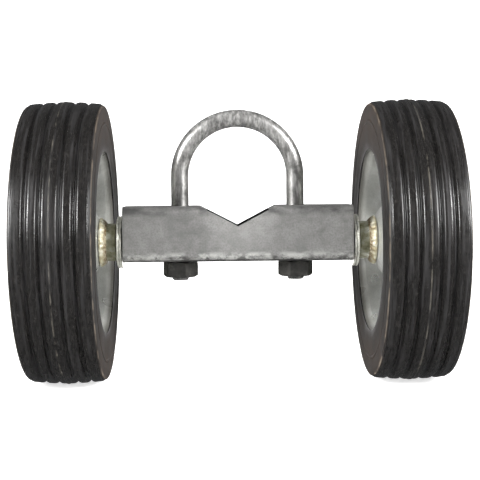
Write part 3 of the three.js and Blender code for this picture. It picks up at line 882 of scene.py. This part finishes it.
def make_nuts(looks):
    """Rings of [radius, height]: the hexagon's radius at angle a is half the flats over the
    cosine of the angle from the flat's middle; a 30 degree cone takes off each corner."""
    steps = 192
    bore = ROD_R + 0.3 * MM
    lead, sunk = 0.7 * MM, 0.9 * MM    # bevel where the thread starts, across and along
    middle = (NUT_LOW.z + NUT_HIGH.z) / 2
    half = (NUT_HIGH.z - NUT_LOW.z) / 2
    for side, sign in SIDES:
        a = np.linspace(0, TAU, steps, endpoint=False)
        hexagon = NUT_FLATS / 2 / np.cos(a % (TAU / 6) - TAU / 12)
        hexagon = np.minimum(hexagon, NUT_CORNER_R)
        out = hexagon - NUT_FACE_R
        cone = out * math.tan(math.radians(30))
        rings = [(bore + 0 * a, sunk - half + 0 * a), (bore + lead + 0 * a, -half + 0 * a)]
        for share in (0.0, 0.15, 0.6, 1.0):
            rings.append((NUT_FACE_R + out * share, -half + cone * share))
        for share in (0.06, 0.5, 0.94):
            rings.append((hexagon, -half + cone + (2 * half - 2 * cone) * share))
        for share in (1.0, 0.6, 0.15, 0.0):
            rings.append((NUT_FACE_R + out * share, half - cone * share))
        rings += [(bore + lead + 0 * a, half + 0 * a), (bore + 0 * a, half - sunk + 0 * a)]
        r, z = (np.array(part) for part in zip(*rings))
        turn = a - math.pi / 2 + math.radians(NUT_TURN[side])
        points = np.stack([sign * LEG_X + r * np.cos(turn), r * np.sin(turn), middle + z], -1)
        points = points.reshape(-1, 3)
        faces = facing_out(points, grid(len(rings), steps, True, True))
        piece(f"clamp_nut_{side}", points, [faces], looks["dark_nut"], f"{side}_nut",
              [f"hex_nut_{side}"], sharp=28)


def tube_skin(inset):
    """One skin of the tube, inset from its outside. Stations run along X; at each, the section
    is walked from the V's cut edge on the front wall, down, under and up to the cut edge on the
    rear wall. Past the V the walk is closed over the top."""
    half, corner = TUBE_HALF - inset, TUBE_CORNER - inset
    top = TUBE_Z + half
    mouth = (top - NOTCH_Z) / NOTCH_SLOPE
    turn = corner * math.pi / 2
    wall = 2 * (half - corner)

    def climb(distance):
        """Front wall's point at a distance up from the end of the bottom corner."""
        a = np.clip((distance - wall) / corner, 0, math.pi / 2)
        y = -half + corner * (1 - np.cos(a))
        z = TUBE_Z - half + corner + np.minimum(distance, wall) + corner * np.sin(a)
        return y, z

    def section(x):
        cut = min(NOTCH_Z + abs(x) * NOTCH_SLOPE, top)
        over = cut - (TUBE_Z + half - corner)
        length = wall + (corner * math.asin(min(over / corner, 1)) if over > 0 else over)
        share = np.concatenate([np.linspace(0, wall, 13)[:-1], np.linspace(wall, wall + turn, 9)])
        y, z = climb(share / (wall + turn) * length)
        a = np.linspace(0, math.pi / 2, 9)[1:-1]
        bend = np.stack([-half + corner * (1 - np.cos(a)),
                         TUBE_Z - half + corner * (1 - np.sin(a))], -1)
        flat = np.linspace(-half + corner, half - corner, 15)
        front = np.stack([y, z], -1)[::-1]
        under = np.vstack([bend, np.stack([flat, 0 * flat + TUBE_Z - half], -1)])
        rear_bend = bend[::-1] * [-1, 1]
        return np.vstack([front, under, rear_bend, front[::-1] * [-1, 1]])

    def with_x(x, yz):
        return np.column_stack([np.full(len(yz), x), yz])

    vee = np.concatenate([np.linspace(-1, 0, 19), np.linspace(0, 1, 19)[1:]]) * mouth
    open_part = np.array([with_x(x, section(x)) for x in vee])
    lid = np.linspace(half - corner, -half + corner, 15)[1:-1]
    beyond = []
    for sign in (-1, 1):
        xs = sign * np.linspace(mouth, TUBE_HIGH[0], 24)
        ring = np.vstack([section(sign * mouth), np.stack([lid, 0 * lid + top], -1)])
        beyond.append(np.array([with_x(x, ring) for x in xs]))
    return open_part, beyond


def make_tube(looks):
    """Two skins with the same faces, joined at the V's cut edges and the tube's ends."""
    skins = [tube_skin(inset) for inset in (0.0, TUBE_WALL)]
    sheets = [np.vstack([sheet.reshape(-1, 3) for sheet in (open_part, *beyond)])
              for open_part, beyond in skins]
    open_part, beyond = skins[0]
    faces, offset = [grid(*open_part.shape[:2])], open_part.shape[0] * open_part.shape[1]
    for sign, ring in zip((-1, 1), beyond):
        quads = grid(*ring.shape[:2], False, True) + offset
        faces.append(quads if sign > 0 else quads[:, ::-1])
        offset += ring.shape[0] * ring.shape[1]
    faces = np.vstack(faces)
    keep, faces = welded(sheets[0], faces)
    points, faces = shell(sheets[0][keep], sheets[1][keep], faces)
    tube = piece("notched_tube", points, [faces], looks["galvanised_tube"], "carrier",
                 ["carrier_tube"])
    reach = 3 * MM
    holes = [cutter([[x, 0, TUBE_LOW[2] - reach], [x, 0, TUBE_HIGH[2] + reach]],
                    [LEG_HOLE_R] * 2, (0, 1, 0)) for x in (-LEG_X, LEG_X)]
    finished(tube, *holes, bevel=0.25 * MM)


# ---- Stage, lights and camera -------------------------------------------------------------

def panel(name, place, target, size, power, colour="#ffffff"):
    """A soft rectangular light at a place, aimed at a target."""
    light = bpy.data.lights.new(name, "AREA")
    light.shape = "RECTANGLE"
    light.size, light.size_y = size
    light.energy = power
    light.color = tint(colour)[:3]
    made = bpy.data.objects.new(name, light)
    made.location = place
    made.rotation_euler = (Vector(target) - Vector(place)).to_track_quat("-Z", "Y").to_euler()
    bpy.context.scene.collection.objects.link(made)
    return made


def make_stage():
    """A pale sweep: level under the wheels, then a quarter circle up to a wall behind them."""
    reach, edge, bend, top = 6.0, 1.2, 0.8, 3.0
    a = np.linspace(0, math.pi / 2, 17)[1:]
    x = np.linspace(-reach, reach, 9)
    y = np.concatenate([np.linspace(-reach, edge, 12), edge + bend * np.sin(a),
                        np.full(6, edge + bend)])
    z = np.concatenate([np.zeros(12), bend * (1 - np.cos(a)), np.linspace(1.0, top, 6)]) - TYRE_R
    points = np.stack(np.broadcast_arrays(x, y[:, None], z[:, None]), -1).reshape(-1, 3)
    mesh = bpy.data.meshes.new("sweep")
    mesh.from_pydata(points.tolist(), [], grid(len(y), 9)[:, ::-1].tolist())
    mesh.polygons.foreach_set("use_smooth", np.ones(len(mesh.polygons), bool))
    mesh.materials.append(plain_stage("pale_sweep", "#ffffff", 0.7))
    sweep = bpy.data.objects.new("sweep", mesh)
    bpy.context.scene.collection.objects.link(sweep)
    sweep.visible_glossy = False


def make_lights():
    world = bpy.data.worlds.new("studio")
    world.use_nodes = True
    tree = world.node_tree
    # White where the camera looks past the floor, dim in what the object mirrors.
    seen = add(tree, "LightPath", {})["Is Camera Ray"]
    strength = add(tree, "Math", {0: seen, 1: 1.1, 2: 0.12}, operation="MULTIPLY_ADD")[0]
    feed(tree.nodes["Background"], {"Color": "#f2f3f5", "Strength": strength})
    bpy.context.scene.world = world
    bpy.context.scene.view_settings.view_transform = "Standard"
    panel("left_front", (-1.0, -0.8, 0.5), (0, 0, 0.02), (0.3, 0.5), 33)
    panel("right_front", (1.0, -0.8, 0.5), (0, 0, 0.02), (0.3, 0.5), 33)
    overhead = panel("overhead", (0.0, -0.5, 1.5), (0, 0, 0), (1.0, 0.4), 16)
    overhead.visible_glossy = False    # it fills, and black rubber doesn't mirror it
    panel("behind", (0.0, 1.1, -0.05), (0, 0, 0), (0.9, 0.3), 3)


def make_camera():
    """A little to the left of the middle and above the tube, looking slightly down."""
    yaw, pitch, roll = (math.radians(v) for v in (1.22, -3.189, 0.556))
    forward = Vector((math.sin(yaw) * math.cos(pitch), math.cos(yaw) * math.cos(pitch),
                      math.sin(pitch)))
    level = Vector((math.cos(yaw), -math.sin(yaw), 0))
    upward = level.cross(forward)
    right = level * math.cos(roll) - upward * math.sin(roll)
    up = level * math.sin(roll) + upward * math.cos(roll)
    lens = bpy.data.cameras.new("camera")
    lens.lens, lens.sensor_width = 79.7, 36.0
    lens.clip_start = 0.01
    made = bpy.data.objects.new("camera", lens)
    axes = Matrix((right, up, -forward)).transposed().to_4x4()
    made.matrix_world = Matrix.Translation((-0.01466, -0.76, 0.04298)) @ axes
    bpy.context.scene.collection.objects.link(made)
    bpy.context.scene.camera = made


# ---- The finished scene -------------------------------------------------------------------

LOOKS = {make.__name__: make() for make in (
    galvanised_tube, zinc_rod, dark_nut, axle_bar, weld_metal, zinc_washer, hub_steel, disc_zinc,
    tyre_rubber, bush_bronze,
)}
# The end plates and the bushes keep their frame shapes and take their finish from here.
for node, look in (("end_plate", "galvanised_tube"), ("bush_inner", "bush_bronze"),
                   ("bush_outer", "bush_bronze")):
    for side, _ in SIDES:
        for place in bpy.data.objects[f"{node}_{side}"].material_slots:
            place.material = LOOKS[look]
make_wheels(LOOKS)
make_axles(LOOKS)
make_u_bolt(LOOKS)
make_nuts(LOOKS)
make_tube(LOOKS)
make_stage()
make_lights()
make_camera()
